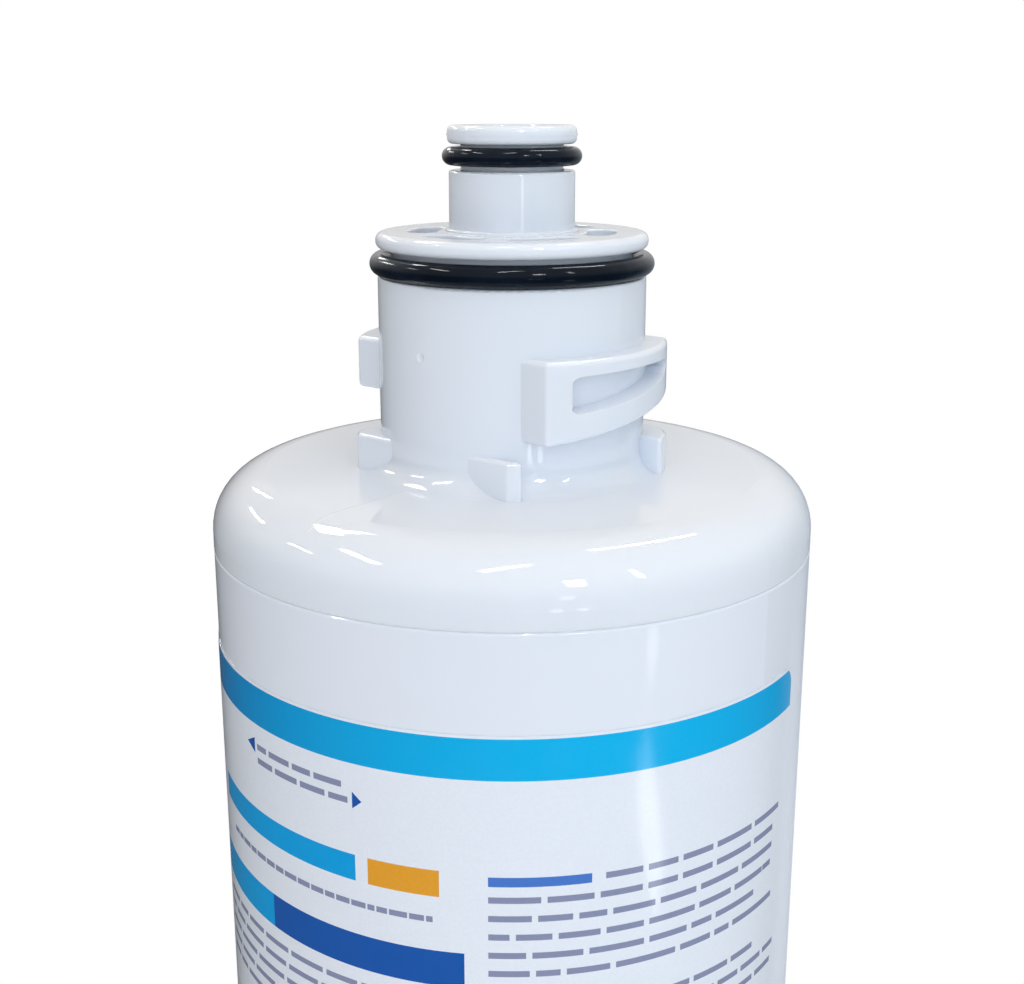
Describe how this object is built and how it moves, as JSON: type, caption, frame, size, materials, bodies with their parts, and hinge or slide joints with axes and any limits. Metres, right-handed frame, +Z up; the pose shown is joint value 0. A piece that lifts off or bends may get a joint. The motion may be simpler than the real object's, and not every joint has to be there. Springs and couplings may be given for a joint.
{
  "type": "water filter cartridge",
  "caption": "Tall white cylindrical water filter cartridge with a bayonet neck, sealing stem, black O-rings and a banded label round a carbon block.",
  "frame": {"origin": "centre of the base, on the surface that the cartridge stands on", "axes": "+Z up along the cartridge's axis towards the stem; +X through the middle of one bayonet lug; the picture looks from azimuth 40 degrees"},
  "size_m": [0.0856, 0.0856, 0.32],
  "materials": {
    "housing": "glossy cool white moulded polypropylene",
    "seal": "greased black rubber",
    "label": "glossy printed film, white with a blue band",
    "carbon": "matte pressed carbon",
    "felt": "white non-woven felt",
    "element_plastic": "satin white moulded polypropylene"
  },
  "bodies": {
    "root": {"housing_sump": "housing", "housing_cap": "housing", "neck_o_ring": "seal", "stem_o_ring": "seal", "label": "label", "carbon_block": "carbon", "prefilter_wrap": "felt", "core_sleeve": "felt", "upper_end_cap": "element_plastic", "lower_end_cap": "element_plastic", "spigot_o_ring": "seal"}
  },
  "joints": []
}
